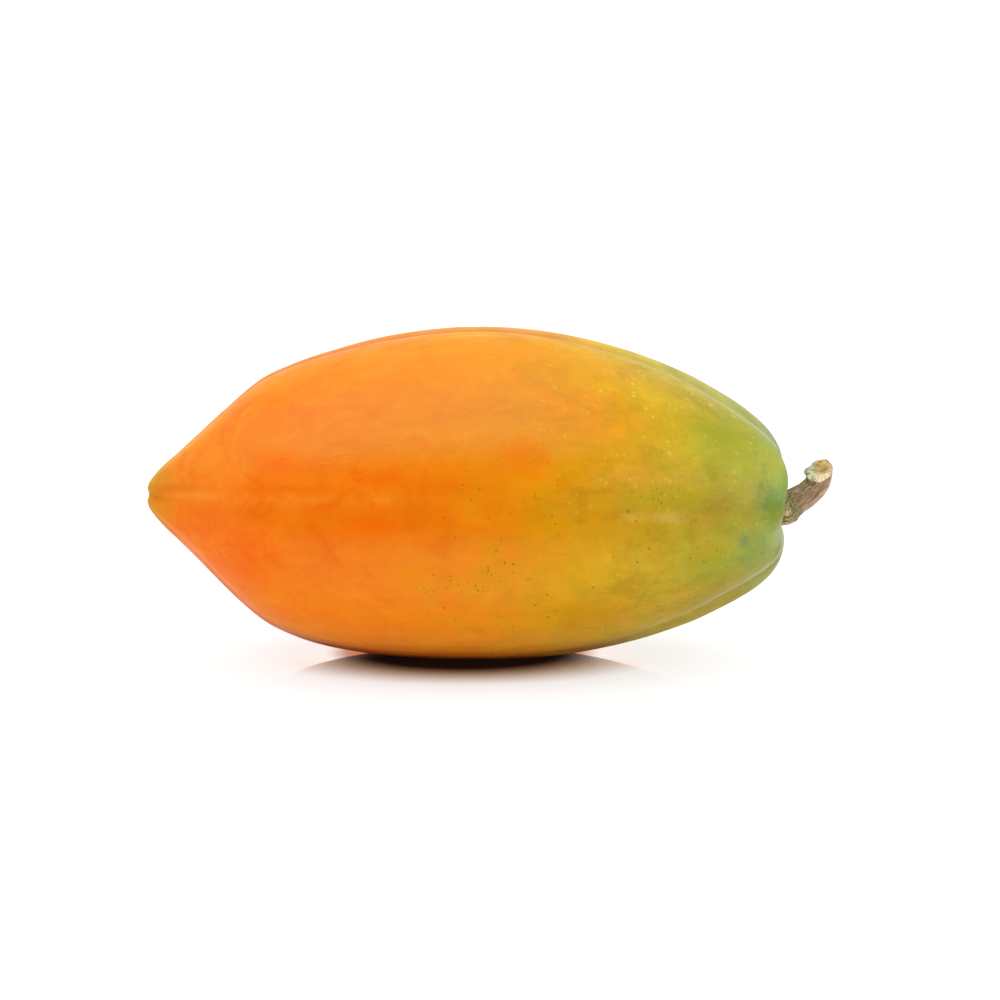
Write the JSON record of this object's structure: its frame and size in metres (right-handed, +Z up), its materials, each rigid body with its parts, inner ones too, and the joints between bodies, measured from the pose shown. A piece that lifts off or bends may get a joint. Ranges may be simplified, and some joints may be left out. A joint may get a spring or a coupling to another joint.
{
  "type": "papaya fruit",
  "caption": "Ripe, softly lobed papaya lying on its side, orange at the blossom tip and green at the short cut stalk, resting on a small flat spot.",
  "frame": {"origin": "middle of the small flat spot that the fruit rests on", "axes": "+Z up; +X along the fruit from the blossom tip towards the stalk; -Y is the side with the shallow groove seen in the reference view"},
  "size_m": [0.2688, 0.1314, 0.1304],
  "materials": {
    "skin": "smooth waxy fruit skin, soft sheen, orange turning to yellow-green and green at the stalk, with fine dark and pale specks",
    "stem_bark": "dry fibrous brown bark, matt, with a pale cut face and a dark green-brown collar"
  },
  "bodies": {
    "root": {"fruit": "skin", "stem": "stem_bark"}
  },
  "joints": []
}
